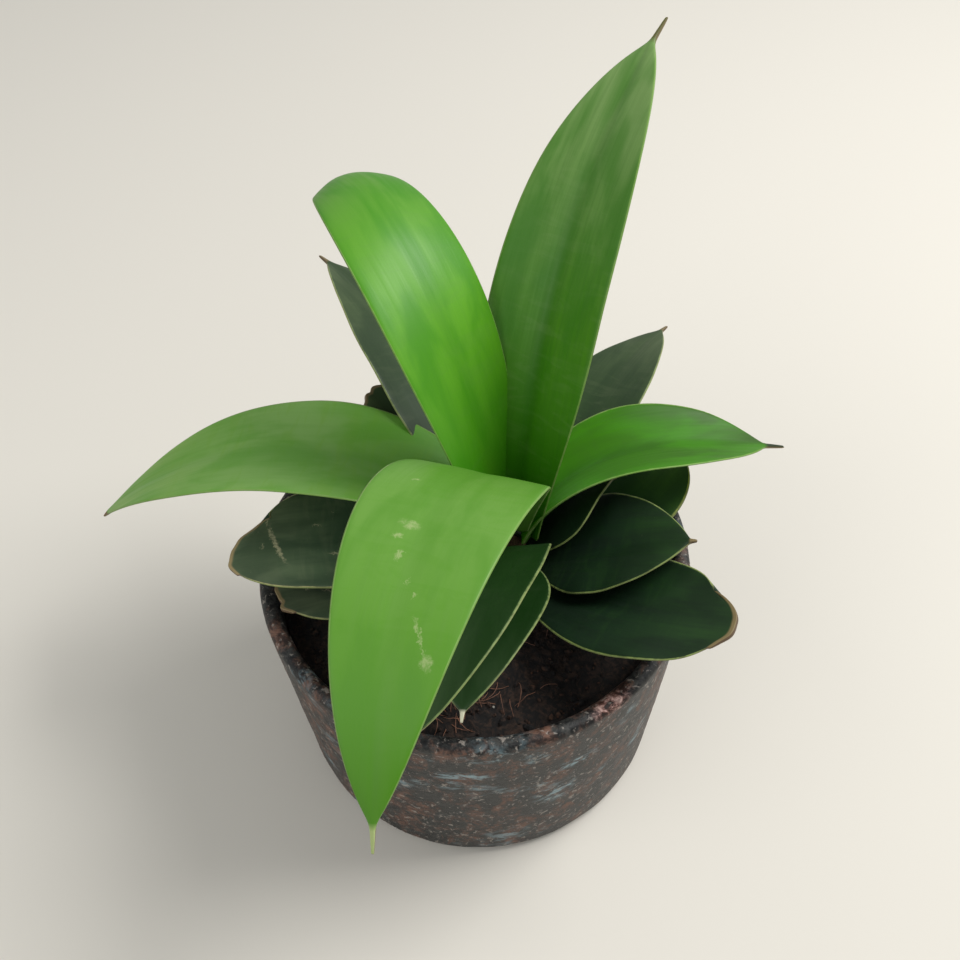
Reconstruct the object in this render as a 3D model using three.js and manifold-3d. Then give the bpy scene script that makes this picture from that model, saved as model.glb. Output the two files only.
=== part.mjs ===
// A bird's-nest snake plant in a round pot, in millimetres with +Z up.
// The origin is the middle of the pot's foot, on the surface that it stands on.
// +X is to the right and +Y to the back, as seen from the front.

import * as THREE from 'three';
import { LoftGeometry } from 'three/addons/geometries/LoftGeometry.js';
import { mergeVertices } from 'three/addons/utils/BufferGeometryUtils.js';
import Module from 'manifold-3d';

const wasm = await Module();
wasm.setup();

// ---- driving dimensions -------------------------------------------------

const POT_HEIGHT = 86;
const RIM_RADIUS = 65;         // outer radius at the rim
const FOOT_RADIUS = 61;        // outer radius just above the rounded foot
const POT_WALL = 5;
const POT_FLOOR = 8;
const RIM_ROUND = 2.2;         // radius of the rim's two rounded edges
const FOOT_ROUND = 5;          // radius of the rounded edge at the foot
const FLOOR_FILLET = 6;        // radius inside, where wall meets floor

const SOIL_BELOW_RIM = 10;     // how far the soil lies below the rim at the wall
const SOIL_MOUND = 2;          // how much higher it is in the middle

const PLANT_X = 12;            // the plant stands a little off the pot's middle
const PLANT_Y = 2;
const STEM_RADIUS = 7;         // underground stem, at its thickest
const STEM_TOP = 12;           // height of its growing point above the soil
const STEM_DEPTH = 34;         // depth of its lower end below the soil
const STEM_SHAPE = 0.8;        // below 1 the stem is thickest nearer its lower end
const STEM_STEPS = 10;
const STEM_SIDES = 20;

const ROOT_COUNT = 5;
const ROOT_REACH = 34;         // how far a root runs out from the stem's axis
const ROOT_DROP = 22;          // how far its end lies below its start
const ROOT_START = 19;         // depth at which the highest root starts
const ROOT_STAGGER = 2;        // each root in a set of three starts this much deeper
const ROOT_HEADING = 20;       // heading of the first root, in degrees
const ROOT_SWING = 28;         // degrees a root turns sideways on its way out
const ROOT_RADIUS = 1.6;
const ROOT_TAPER = 0.6;        // share of its radius that a root loses by its end
const ROOT_STEPS = 5;
const ROOT_SIDES = 6;

const LEAF_FOOT_THICKNESS = 3.4;
const LEAF_TIP_THICKNESS = 1.6;
const LEAF_EDGE_THICKNESS = 0.9;
const LEAF_RINGS = 18;
const LEAF_COLUMNS = 5;        // points across each face of a leaf
const FOOT_FLARE = 1.3;        // above 1 a leaf stays narrow for longer near its foot
const TIP_FULLNESS = 2.1;      // higher keeps it broad nearer to its tip
const TIP_BLUNTNESS = 0.8;     // lower makes the tip rounder
const CUP_CURVE = 1.7;         // higher keeps the middle flatter and turns up the edges
const SPINE_RADIUS = 0.7;
const SPINE_TAPER = 0.4;       // the spine's end, as a share of its start

const GAP = 0.3;               // clearance between pieces that touch
const POT_SIDES = 56;
const ROUND_STEPS = 3;         // steps in each rounded edge of the pot

// ---- worked out from them -----------------------------------------------

const INNER_RIM_RADIUS = RIM_RADIUS - POT_WALL;
const INNER_FLOOR_RADIUS = FOOT_RADIUS - POT_WALL;
const SOIL_EDGE = POT_HEIGHT - SOIL_BELOW_RIM;
const SOIL_MIDDLE = SOIL_EDGE + SOIL_MOUND;

// ---- leaves, from the youngest in the middle to the oldest outside --------
// heading, lean and twist are in degrees at the foot, the middle and the tip.
// heading is the way a leaf grows, 0 to the right and 90 to the back; lean is
// its slope away from upright; twist turns it about its own midrib.
// cup is how far its edges rise above its midrib, at the foot and at the tip.
// rise is its foot's height above the soil and reach its distance from the stem.
// foot and widest give its outline: the share of the full width at the foot,
// and the share of the length at which it is widest. Two leaves have a tip
// fullness of their own, which is given as tip.

const LEAVES = [
  { name: 'leaf_tall', heading: [73, 65, 53], lean: [14, 35, 63], twist: [-18, -19, -20],
    length: 144, width: 37, cup: [5, 2], reach: 3, rise: 12.5, widest: 0.49, foot: 0.48, tip: 2.75,
    spine: 8 },
  { name: 'leaf_arched_back', heading: [141, 122, 117], lean: [17, 45, 183], twist: [2, 13, -11],
    length: 160, width: 35, cup: [6, -7], reach: 4, rise: 11, widest: 0.48, foot: 0.52, spine: 5 },
  { name: 'leaf_right', heading: [40, 10, 8], lean: [30, 82, 106], twist: [-28, -12, -11],
    length: 84, width: 31, cup: [7, 4], reach: 4, rise: 10, widest: 0.51, foot: 0.48, spine: 7 },
  { name: 'leaf_front', heading: [235, 250, 265], lean: [-3, 74, 143], twist: [16, 4, 7],
    length: 145, width: 40, cup: [1, 2], reach: 5, rise: 22, widest: 0.39, foot: 0.35, tip: 1.76,
    spine: 7 },
  { name: 'leaf_left', heading: [161, 171, 178], lean: [46, 100, 135], twist: [-3, 6, 16],
    length: 142, width: 39, cup: [4, 2], reach: 5, rise: 16, widest: 0.45, foot: 0.5, spine: 3 },
  { name: 'leaf_short_right', heading: [21, 20, -5], lean: [43, 49, 62], twist: [1, -5, -5],
    length: 34, width: 27, cup: [4, 3], reach: 5, rise: 6, widest: 0.5, foot: 0.5, spine: 2 },
  { name: 'leaf_front_fold', heading: [255, 249, 257], lean: [22, 65, 105], twist: [4, 11, 2],
    length: 94, width: 34, cup: [4, 2], reach: 7, rise: 11, widest: 0.48, foot: 0.68, spine: 2 },
  { name: 'leaf_back_right', heading: [56, 56, 48], lean: [50, 78, 98], twist: [-10, -16, -22],
    length: 90, width: 32, cup: [3, 2], reach: 6, rise: 3, widest: 0.47, foot: 0.5, spine: 4 },
  { name: 'leaf_back_left', heading: [122, 122, 131], lean: [46, 66, 90], twist: [10, 15, 26],
    length: 106, width: 33, cup: [3, 2], reach: 7, rise: 7, widest: 0.5, foot: 0.5, spine: 5 },
  { name: 'leaf_right_upper', heading: [16, 36, 46], lean: [64, 76, 82], twist: [0, 12, 0],
    length: 56, width: 36, cup: [3, 2], reach: 8, rise: 1.5, widest: 0.51, foot: 0.5, spine: 1 },
  { name: 'leaf_right_middle', heading: [-19, -20, -17], lean: [51, 59, 67], twist: [0, 8, 0],
    length: 49, width: 34, cup: [3, 2], reach: 9, rise: 5, widest: 0.39, foot: 0.5, spine: 2 },
  { name: 'leaf_front_short', heading: [261, 253, 264], lean: [45, 63, 100], twist: [0, 6, 8],
    length: 69, width: 31, cup: [4, 2], reach: 8, rise: 5, widest: 0.47, foot: 0.5, spine: 3 },
  { name: 'leaf_left_back', heading: [142, 136, 141], lean: [47, 55, 64], twist: [0, 1, 2],
    length: 60, width: 30, cup: [3, 2], reach: 9, rise: 3.5, widest: 0.49, foot: 0.5, spine: 1 },
  { name: 'leaf_left_middle', heading: [181, 187, 183], lean: [57, 79, 98], twist: [0, 0, 0],
    length: 76, width: 37, cup: [3, 2], reach: 11, rise: 3, widest: 0.5, foot: 0.5, spine: 1 },
  { name: 'leaf_right_lower', heading: [-52, -36, -24], lean: [63, 62, 64], twist: [-1, -1, 3],
    length: 70, width: 37, cup: [3, 2], reach: 11, rise: 1, widest: 0.46, foot: 0.49, spine: 1 },
  { name: 'leaf_left_lower', heading: [193, 196, 199], lean: [68, 81, 90], twist: [0, 2, 6],
    length: 63, width: 32, cup: [3, 2], reach: 11, rise: 0.5, widest: 0.49, foot: 0.5, spine: 1 },
];

const YOUNG_LEAVES = 5;        // the first five are fresh, bright leaves

// ---- materials ------------------------------------------------------------

const glazedClay = new THREE.MeshStandardMaterial({ color: 0x3a302c, roughness: 0.45, metalness: 0 });
const pottingMix = new THREE.MeshStandardMaterial({ color: 0x15110e, roughness: 0.95, metalness: 0 });
const paleRoot = new THREE.MeshStandardMaterial({ color: 0xb8895a, roughness: 0.8, metalness: 0 });
const youngLeaf = new THREE.MeshStandardMaterial({ color: 0x4c8a1e, roughness: 0.45, metalness: 0 });
const oldLeaf = new THREE.MeshStandardMaterial({ color: 0x223c26, roughness: 0.5, metalness: 0 });

// ---- solids ---------------------------------------------------------------

function toSolid(geometry) {
  const bare = new THREE.BufferGeometry().copy(geometry);
  bare.deleteAttribute('normal');
  bare.deleteAttribute('uv');
  const merged = mergeVertices(bare, 1e-4);
  return new wasm.Manifold(new wasm.Mesh({
    numProp: 3,
    vertProperties: new Float32Array(merged.attributes.position.array),
    triVerts: new Uint32Array(merged.index.array),
  }));
}

function toGeometry(solid) {
  const mesh = solid.getMesh();
  const geometry = new THREE.BufferGeometry();
  geometry.setAttribute('position', new THREE.BufferAttribute(mesh.vertProperties, 3));
  geometry.setIndex(new THREE.BufferAttribute(mesh.triVerts, 1));
  geometry.computeVertexNormals();
  return geometry;
}

// A cut can leave loose chips, and only the piece itself is kept.
function largestPiece(solid) {
  const pieces = solid.decompose();
  pieces.sort((a, b) => b.volume() - a.volume());
  return pieces[0];
}

// ---- pot and soil -----------------------------------------------------------

function arc(centreX, centreY, radius, from, to, steps) {
  const points = [];
  for (let i = 0; i <= steps; i++) {
    const angle = THREE.MathUtils.degToRad(from + (to - from) * i / steps);
    points.push(new THREE.Vector2(
      centreX + radius * Math.cos(angle),
      centreY + radius * Math.sin(angle),
    ));
  }
  return points;
}

// A profile turned about the Z axis.
function turned(profile, sides) {
  return new THREE.LatheGeometry(profile, sides).rotateX(Math.PI / 2);
}

function potGeometry() {
  const profile = [
    new THREE.Vector2(0, 0),
    ...arc(FOOT_RADIUS - FOOT_ROUND, FOOT_ROUND, FOOT_ROUND, -90, 0, ROUND_STEPS),
    ...arc(RIM_RADIUS - RIM_ROUND, POT_HEIGHT - RIM_ROUND, RIM_ROUND, 0, 90, ROUND_STEPS),
    ...arc(INNER_RIM_RADIUS + RIM_ROUND, POT_HEIGHT - RIM_ROUND, RIM_ROUND, 90, 180, ROUND_STEPS),
    ...arc(
      INNER_FLOOR_RADIUS - FLOOR_FILLET, POT_FLOOR + FLOOR_FILLET,
      FLOOR_FILLET, 0, -90, ROUND_STEPS,
    ),
    new THREE.Vector2(0, POT_FLOOR),
  ];
  return turned(profile, POT_SIDES);
}

// The inner wall leans out evenly from the floor's fillet to the rim.
function innerRadiusAt(height) {
  const low = POT_FLOOR + FLOOR_FILLET;
  const high = POT_HEIGHT - RIM_ROUND;
  const share = (height - low) / (high - low);
  return INNER_FLOOR_RADIUS + (INNER_RIM_RADIUS - INNER_FLOOR_RADIUS) * share;
}

function soilGeometry() {
  const profile = [
    new THREE.Vector2(0, POT_FLOOR + GAP),
    ...arc(
      INNER_FLOOR_RADIUS - FLOOR_FILLET, POT_FLOOR + FLOOR_FILLET,
      FLOOR_FILLET - GAP, -90, 0, ROUND_STEPS,
    ),
    new THREE.Vector2(innerRadiusAt(SOIL_EDGE) - GAP, SOIL_EDGE),
    new THREE.Vector2(0, SOIL_MIDDLE),
  ];
  return turned(profile, POT_SIDES);
}

// ---- stem with its roots ------------------------------------------------------

function stemGeometry(grow) {
  const length = STEM_DEPTH + STEM_TOP;
  const bottom = SOIL_MIDDLE - STEM_DEPTH;
  const profile = [new THREE.Vector2(0, bottom - grow)];
  for (let i = 1; i < STEM_STEPS; i++) {
    const share = i / STEM_STEPS;
    const radius = STEM_RADIUS * Math.sqrt(Math.sin(Math.PI * share ** STEM_SHAPE));
    profile.push(new THREE.Vector2(radius + grow, bottom + length * share));
  }
  profile.push(new THREE.Vector2(0, bottom + length + grow));
  return turned(profile, STEM_SIDES).translate(PLANT_X, PLANT_Y, 0);
}

function rootGeometry(index, grow) {
  const start = SOIL_MIDDLE - ROOT_START - ROOT_STAGGER * (index % 3);
  const sections = [];
  for (let i = 0; i <= ROOT_STEPS; i++) {
    const share = i / ROOT_STEPS;
    const heading = THREE.MathUtils.degToRad(
      ROOT_HEADING + 360 * index / ROOT_COUNT + ROOT_SWING * share,
    );
    const outward = new THREE.Vector3(Math.cos(heading), Math.sin(heading), 0);
    const sideways = new THREE.Vector3(-Math.sin(heading), Math.cos(heading), 0);
    const centre = new THREE.Vector3(PLANT_X, PLANT_Y, start - ROOT_DROP * share * share)
      .addScaledVector(outward, ROOT_REACH * share);
    const radius = ROOT_RADIUS * (1 - ROOT_TAPER * share) + grow;
    const points = [];
    for (let j = 0; j < ROOT_SIDES; j++) {
      const angle = 2 * Math.PI * j / ROOT_SIDES;
      const point = centre.clone().addScaledVector(sideways, radius * Math.cos(angle));
      point.z += radius * Math.sin(angle);
      points.push(point);
    }
    sections.push(points);
  }
  return new LoftGeometry(sections, { closed: true, capStart: true, capEnd: true });
}

function rootstockSolid(grow) {
  let solid = toSolid(stemGeometry(grow));
  for (let i = 0; i < ROOT_COUNT; i++) {
    solid = solid.add(toSolid(rootGeometry(i, grow)));
  }
  return solid;
}

// ---- leaves ---------------------------------------------------------------------

// A smooth curve through the values at a leaf's foot, middle and tip.
function through([foot, middle, tip], share) {
  return foot * (1 - share) * (1 - 2 * share)
    + middle * 4 * share * (1 - share)
    + tip * share * (2 * share - 1);
}

function widthShare(leaf, share) {
  if (share < leaf.widest) {
    const opening = Math.sin(share / leaf.widest * Math.PI / 2) ** FOOT_FLARE;
    return leaf.foot + (1 - leaf.foot) * opening;
  }
  const closing = (share - leaf.widest) / (1 - leaf.widest);
  return (1 - closing ** (leaf.tip ?? TIP_FULLNESS)) ** TIP_BLUNTNESS;
}

// Where the midrib runs at a share of the leaf's length, with the leaf's own
// directions there: along it, across it and out of its upper face.
function leafAxes(leaf, share) {
  const heading = THREE.MathUtils.degToRad(through(leaf.heading, share));
  const lean = THREE.MathUtils.degToRad(through(leaf.lean, share));
  const twist = THREE.MathUtils.degToRad(through(leaf.twist, share));
  const along = new THREE.Vector3(
    Math.sin(lean) * Math.cos(heading),
    Math.sin(lean) * Math.sin(heading),
    Math.cos(lean),
  );
  const level = new THREE.Vector3(-Math.sin(heading), Math.cos(heading), 0);
  const upper = new THREE.Vector3().crossVectors(along, level);
  const across = level.clone().multiplyScalar(Math.cos(twist)).addScaledVector(upper, Math.sin(twist));
  upper.crossVectors(along, across);
  return { along, across, upper };
}

// One ring of a leaf: its upper face from edge to edge, then its lower face back.
function leafRing(centre, axes, halfWidth, cup, thickness, edge, grow) {
  const ring = [];
  for (const face of [1, -1]) {
    for (let i = 0; i < LEAF_COLUMNS; i++) {
      const side = face * (1 - 2 * i / (LEAF_COLUMNS - 1));
      const half = edge + (thickness - edge) * (1 - side * side);
      const lift = cup * Math.abs(side) ** CUP_CURVE + face * (half / 2 + grow);
      ring.push(centre.clone()
        .addScaledVector(axes.across, side * (halfWidth + grow))
        .addScaledVector(axes.upper, lift));
    }
  }
  return ring;
}

function leafGeometry(leaf, grow) {
  const heading = THREE.MathUtils.degToRad(leaf.heading[0]);
  const centre = new THREE.Vector3(
    PLANT_X + leaf.reach * Math.cos(heading),
    PLANT_Y + leaf.reach * Math.sin(heading),
    SOIL_MIDDLE + leaf.rise,
  );
  const sections = [];
  const step = leaf.length / LEAF_RINGS;
  let axes = leafAxes(leaf, 0);
  for (let i = 0; i < LEAF_RINGS; i++) {
    const share = i / LEAF_RINGS;
    if (i > 0) {
      centre.addScaledVector(leafAxes(leaf, share - 0.5 / LEAF_RINGS).along, step);
    }
    axes = leafAxes(leaf, share);
    const width = widthShare(leaf, share);
    const thickness = THREE.MathUtils.lerp(LEAF_FOOT_THICKNESS, LEAF_TIP_THICKNESS, share);
    const cup = THREE.MathUtils.lerp(leaf.cup[0], leaf.cup[1], share) * width;
    sections.push(leafRing(
      centre, axes, leaf.width / 2 * width, cup, thickness, LEAF_EDGE_THICKNESS, grow,
    ));
  }
  // The blade closes into a short stiff spine.
  centre.addScaledVector(axes.along, step);
  sections.push(leafRing(centre, axes, SPINE_RADIUS, 0, SPINE_RADIUS * 2, SPINE_RADIUS, grow));
  centre.addScaledVector(axes.along, leaf.spine);
  const end = SPINE_RADIUS * SPINE_TAPER;
  sections.push(leafRing(centre, axes, end, 0, end * 2, end, grow));
  return new LoftGeometry(sections, { closed: true, capStart: true, capEnd: true });
}

// ---- the assembly -----------------------------------------------------------------

const group = new THREE.Group();

function addPiece(name, geometry, material) {
  const mesh = new THREE.Mesh(geometry, material);
  mesh.name = name;
  group.add(mesh);
}

addPiece('pot', potGeometry(), glazedClay);
addPiece('rootstock', toGeometry(rootstockSolid(0)), paleRoot);

// Each leaf makes room for the ones inside it, so taken grows from the middle out.
let taken = rootstockSolid(GAP);
LEAVES.forEach((leaf, index) => {
  const piece = largestPiece(toSolid(leafGeometry(leaf, 0)).subtract(taken));
  taken = taken.add(toSolid(leafGeometry(leaf, GAP)));
  addPiece(leaf.name, toGeometry(piece), index < YOUNG_LEAVES ? youngLeaf : oldLeaf);
});

addPiece('soil', toGeometry(largestPiece(toSolid(soilGeometry()).subtract(taken))), pottingMix);

export default group;
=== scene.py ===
import math
import random

import bmesh
import bpy
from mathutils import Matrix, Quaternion, Vector, noise


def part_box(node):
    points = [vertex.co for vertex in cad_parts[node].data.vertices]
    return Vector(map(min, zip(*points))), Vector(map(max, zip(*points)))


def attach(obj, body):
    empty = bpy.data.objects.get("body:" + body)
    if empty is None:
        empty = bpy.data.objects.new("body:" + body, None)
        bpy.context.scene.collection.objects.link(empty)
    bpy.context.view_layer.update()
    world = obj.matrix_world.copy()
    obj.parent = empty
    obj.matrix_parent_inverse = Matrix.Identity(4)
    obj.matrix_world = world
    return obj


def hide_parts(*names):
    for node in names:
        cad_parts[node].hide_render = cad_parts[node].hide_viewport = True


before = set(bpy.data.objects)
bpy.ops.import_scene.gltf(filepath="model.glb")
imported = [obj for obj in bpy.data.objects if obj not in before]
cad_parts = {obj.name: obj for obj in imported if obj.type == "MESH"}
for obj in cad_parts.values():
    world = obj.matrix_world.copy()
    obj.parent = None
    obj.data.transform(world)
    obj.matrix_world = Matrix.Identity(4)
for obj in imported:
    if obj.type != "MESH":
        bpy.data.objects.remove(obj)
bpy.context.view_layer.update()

# ---- The pot ----------------------------------------------------------------
# A round stoneware pot, thrown on a wheel, with a rounded rim and foot. It is
# dipped in a dark iron glaze, which breaks to rust brown and pools blue-grey.

POT_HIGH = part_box("pot")[1]
RIM_RADIUS = POT_HIGH.x
POT_HEIGHT = POT_HIGH.z
FOOT_RADIUS = 0.061
WALL = 0.005
FLOOR = 0.008
RIM_ROUND = 0.0022
FOOT_ROUND = 0.005
POT_SIDES = 128
WALL_RINGS = 30               # rings up the wall, for the unevenness of the glaze
GLAZE_UNEVEN = 0.00022        # how far the thick glaze stands in or out
UNEVEN_FROM = 0.8             # share of the foot's radius inside which the pot is left even
GLAZE_LUMPS = 90              # lumps in the glaze to a metre, so each is about 11 mm wide
SAME_PLACE = 1e-5             # points nearer than this are at one place


def deselect_all():
    if bpy.context.object and bpy.context.object.mode == "EDIT":
        bpy.ops.object.mode_set(mode="OBJECT")
    bpy.ops.object.select_all(action="DESELECT")


def name_piece(name):
    """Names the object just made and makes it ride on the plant's body."""
    piece = bpy.context.object
    piece.name = name
    piece.data.name = name
    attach(piece, "root")
    return piece


def select_faces(piece, wanted):
    """In edit mode, selects only the faces that pass the test."""
    shape = bmesh.from_edit_mesh(piece.data)
    bpy.ops.mesh.select_all(action="DESELECT")
    for face in shape.faces:
        face.select_set(wanted(face))
    bmesh.update_edit_mesh(piece.data)


def select_edges(piece, wanted):
    """In edit mode, selects only the edges that pass the test."""
    shape = bmesh.from_edit_mesh(piece.data)
    bpy.ops.mesh.select_all(action="DESELECT")
    for edge in shape.edges:
        edge.select_set(wanted(edge))
    bmesh.update_edit_mesh(piece.data)


def is_ring(edge, height):
    """True for an edge that runs round the axis at this height."""
    first, second = edge.verts
    level = abs(first.co.z - height) < SAME_PLACE and abs(second.co.z - height) < SAME_PLACE
    return level and abs(first.co.xy.length - second.co.xy.length) < SAME_PLACE


def place_applied():
    """Moves the object's place into its mesh, so that the object sits at the origin."""
    bpy.ops.object.transform_apply(location=True, rotation=True, scale=True)


def colour(hex_code):
    """A colour written in sRGB, as Blender's linear one."""
    shares = [int(hex_code[i:i + 2], 16) / 255 for i in (1, 3, 5)]
    linear = [s / 12.92 if s <= 0.04045 else ((s + 0.055) / 1.055) ** 2.4 for s in shares]
    return (*linear, 1)


def add_node(material, kind, values=None, links=None, **settings):
    """Adds a node to a material, with its settings, its sockets' values and the links into it."""
    node = material.node_tree.nodes.new(kind)
    for name, value in settings.items():
        setattr(node, name, value)
    for socket, value in (values or {}).items():
        node.inputs[socket].default_value = value
    for socket, source in (links or {}).items():
        material.node_tree.links.new(source, node.inputs[socket])
    return node


def add_patches(material, place, patches):
    """A share that is 1 inside oval patches and fades out at their edges, and 0 elsewhere.

    Each patch is its middle and its half sizes, in metres, and its turn in degrees.
    """
    covered = 0
    for middle, half_sizes, turn in patches:
        local = add_node(
            material, "ShaderNodeMapping",
            {"Location": middle, "Rotation": (0, 0, math.radians(turn)), "Scale": half_sizes},
            {"Vector": place}, vector_type="TEXTURE").outputs[0]
        distance = add_node(
            material, "ShaderNodeVectorMath", None, {0: local}, operation="LENGTH").outputs["Value"]
        inside = add_node(
            material, "ShaderNodeMapRange", {"From Min": 1, "From Max": 0.3}, {"Value": distance},
            interpolation_type="SMOOTHSTEP").outputs[0]
        if covered:
            covered = add_node(
                material, "ShaderNodeMath", None, {0: covered, 1: inside},
                operation="MAXIMUM").outputs[0]
        else:
            covered = inside
    return covered


deselect_all()
bpy.ops.mesh.primitive_cylinder_add(
    vertices=POT_SIDES, radius=FOOT_RADIUS, depth=POT_HEIGHT, location=(0, 0, POT_HEIGHT / 2),
    end_fill_type="NGON",
)
place_applied()
pot = name_piece("glazed_pot")
bpy.ops.object.mode_set(mode="EDIT")
bpy.ops.mesh.select_mode(type="FACE")
select_faces(pot, lambda face: face.normal.z > 0.9)
rim_share = RIM_RADIUS / FOOT_RADIUS
bpy.ops.transform.resize(value=(rim_share, rim_share, 1))
bpy.ops.mesh.inset(thickness=WALL)
bpy.ops.mesh.extrude_region_move(TRANSFORM_OT_translate={"value": (0, 0, FLOOR - POT_HEIGHT)})
floor_share = (FOOT_RADIUS - WALL) / (RIM_RADIUS - WALL)
bpy.ops.transform.resize(value=(floor_share, floor_share, 1))
bpy.ops.mesh.select_mode(type="EDGE")
select_edges(pot, lambda edge: is_ring(edge, 0))
bpy.ops.mesh.bevel(offset=FOOT_ROUND, offset_type="OFFSET", segments=7)
select_edges(pot, lambda edge: is_ring(edge, POT_HEIGHT))
bpy.ops.mesh.bevel(offset=RIM_ROUND, offset_type="OFFSET", segments=5)
select_edges(pot, lambda edge: abs(edge.verts[0].co.z - edge.verts[1].co.z) > POT_HEIGHT / 2)
bpy.ops.mesh.subdivide(number_cuts=WALL_RINGS)
bpy.ops.object.mode_set(mode="OBJECT")
for vertex in pot.data.vertices:
    outward = Vector((vertex.co.x, vertex.co.y, 0))
    if outward.length > FOOT_RADIUS * UNEVEN_FROM:
        lump = noise.fractal(vertex.co * GLAZE_LUMPS, 0.8, 2.2, 3)
        vertex.co += outward.normalized() * lump * GLAZE_UNEVEN
bpy.ops.object.shade_smooth_by_angle(angle=math.radians(40))
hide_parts("pot")

# Stoneware with an iron glaze, fired until it ran: dark and half glossy, with
# rust-brown blotches where it is thin and blue-grey flecks where it pooled.
POOLS = [                     # where it pooled
    ((0.002, -0.065, 0.082), (0.010, 0.02, 0.005), 0),
    ((-0.005, -0.064, 0.068), (0.012, 0.02, 0.004), 0),
    ((0.022, -0.059, 0.044), (0.009, 0.02, 0.009), 0),
    ((0.027, -0.058, 0.062), (0.010, 0.02, 0.004), 0),
    ((0.036, -0.047, 0.080), (0.006, 0.006, 0.006), 0),
    ((-0.064, -0.010, 0.078), (0.010, 0.012, 0.010), 0),
    ((0.060, 0.022, 0.060), (0.010, 0.014, 0.008), 0),
    ((-0.030, 0.055, 0.055), (0.014, 0.014, 0.008), 0),
]
PAINTED_RIM_HIGHLIGHT = [((0.036, -0.052, 0.086), (0.009, 0.0035, 0.005), 38)]    # a painted highlight where the light catches the rim at the front right
iron_glaze = bpy.data.materials.new("iron_glazed_stoneware")
iron_glaze.use_nodes = True
shader = iron_glaze.node_tree.nodes["Principled BSDF"]
shader.inputs["IOR"].default_value = 1.5
shader.inputs["Specular IOR Level"].default_value = 0.35
place = add_node(iron_glaze, "ShaderNodeTexCoord").outputs["Object"]
# A Noise texture's features are about 1 / scale metres across: here 3 mm grains.
grain = add_node(
    iron_glaze, "ShaderNodeTexNoise",
    {"Scale": 320, "Detail": 5, "Roughness": 0.78, "Distortion": 0.5}, {"Vector": place}).outputs[0]
# The glaze ran a little down the wall before it set: blotches are 8 mm wide and 11 high.
run_down = add_node(
    iron_glaze, "ShaderNodeMapping", {"Scale": (125, 125, 90)}, {"Vector": place}).outputs[0]
blotches = add_node(
    iron_glaze, "ShaderNodeTexNoise",
    {"Scale": 1, "Detail": 5, "Roughness": 0.68, "Distortion": 0.5}, {"Vector": run_down}).outputs[0]
# Flecks are 6 by 3 mm, gathered in the pools and in drifts 17 mm across outside them.
fleck_place = add_node(
    iron_glaze, "ShaderNodeMapping", {"Scale": (170, 170, 330), "Location": (3.1, 0.7, 1.9)},
    {"Vector": place}).outputs[0]
flecks = add_node(
    iron_glaze, "ShaderNodeTexNoise",
    {"Scale": 1, "Detail": 5, "Roughness": 0.72, "Distortion": 0.5}, {"Vector": fleck_place}).outputs[0]
drifts = add_node(
    iron_glaze, "ShaderNodeTexNoise", {"Scale": 60, "Detail": 2, "Roughness": 0.5},
    {"Vector": place}).outputs[0]
# Pale specks of 2 mm are strewn all over it.
specks = add_node(
    iron_glaze, "ShaderNodeTexNoise",
    {"Scale": 4.5, "Detail": 3, "Roughness": 0.65, "Distortion": 0.4}, {"Vector": run_down}).outputs[0]
pooled = add_patches(iron_glaze, place, POOLS)
grain_share = add_node(
    iron_glaze, "ShaderNodeMapRange", {"From Min": 0.4, "From Max": 0.64}, {"Value": grain},
    interpolation_type="SMOOTHSTEP").outputs[0]
rust_share = add_node(
    iron_glaze, "ShaderNodeMapRange", {"From Min": 0.45, "From Max": 0.6, "To Max": 0.9},
    {"Value": blotches}, interpolation_type="SMOOTHSTEP").outputs[0]
drift_share = add_node(
    iron_glaze, "ShaderNodeMapRange", {"From Min": 0.56, "From Max": 0.72, "To Max": 0.7},
    {"Value": drifts}, interpolation_type="SMOOTHSTEP").outputs[0]
gathered = add_node(
    iron_glaze, "ShaderNodeMath", None, {0: drift_share, 1: pooled}, operation="MAXIMUM").outputs[0]
fleck_core = add_node(
    iron_glaze, "ShaderNodeMapRange", {"From Min": 0.46, "From Max": 0.62, "To Max": 0.95},
    {"Value": flecks}, interpolation_type="SMOOTHSTEP").outputs[0]
fleck_share = add_node(
    iron_glaze, "ShaderNodeMath", None, {0: fleck_core, 1: gathered}, operation="MULTIPLY").outputs[0]
speck_share = add_node(
    iron_glaze, "ShaderNodeMapRange", {"From Min": 0.57, "From Max": 0.67, "To Max": 0.6},
    {"Value": specks}, interpolation_type="SMOOTHSTEP").outputs[0]
# A Mix node's colours are its inputs 6 and 7, and its result is output 2.
ground = add_node(
    iron_glaze, "ShaderNodeMix", {6: colour("#0b0c0c"), 7: colour("#3f3f3c")}, {0: grain_share},
    data_type="RGBA").outputs[2]
rust = add_node(
    iron_glaze, "ShaderNodeMix", {6: colour("#2e1f19"), 7: colour("#765444")}, {0: grain_share},
    data_type="RGBA").outputs[2]
rusty = add_node(
    iron_glaze, "ShaderNodeMix", None, {0: rust_share, 6: ground, 7: rust},
    data_type="RGBA").outputs[2]
flecked = add_node(
    iron_glaze, "ShaderNodeMix", {7: colour("#8aa2a8")}, {0: fleck_share, 6: rusty},
    data_type="RGBA").outputs[2]
specked = add_node(
    iron_glaze, "ShaderNodeMix", {7: colour("#a39a90")}, {0: speck_share, 6: flecked},
    data_type="RGBA").outputs[2]
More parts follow.
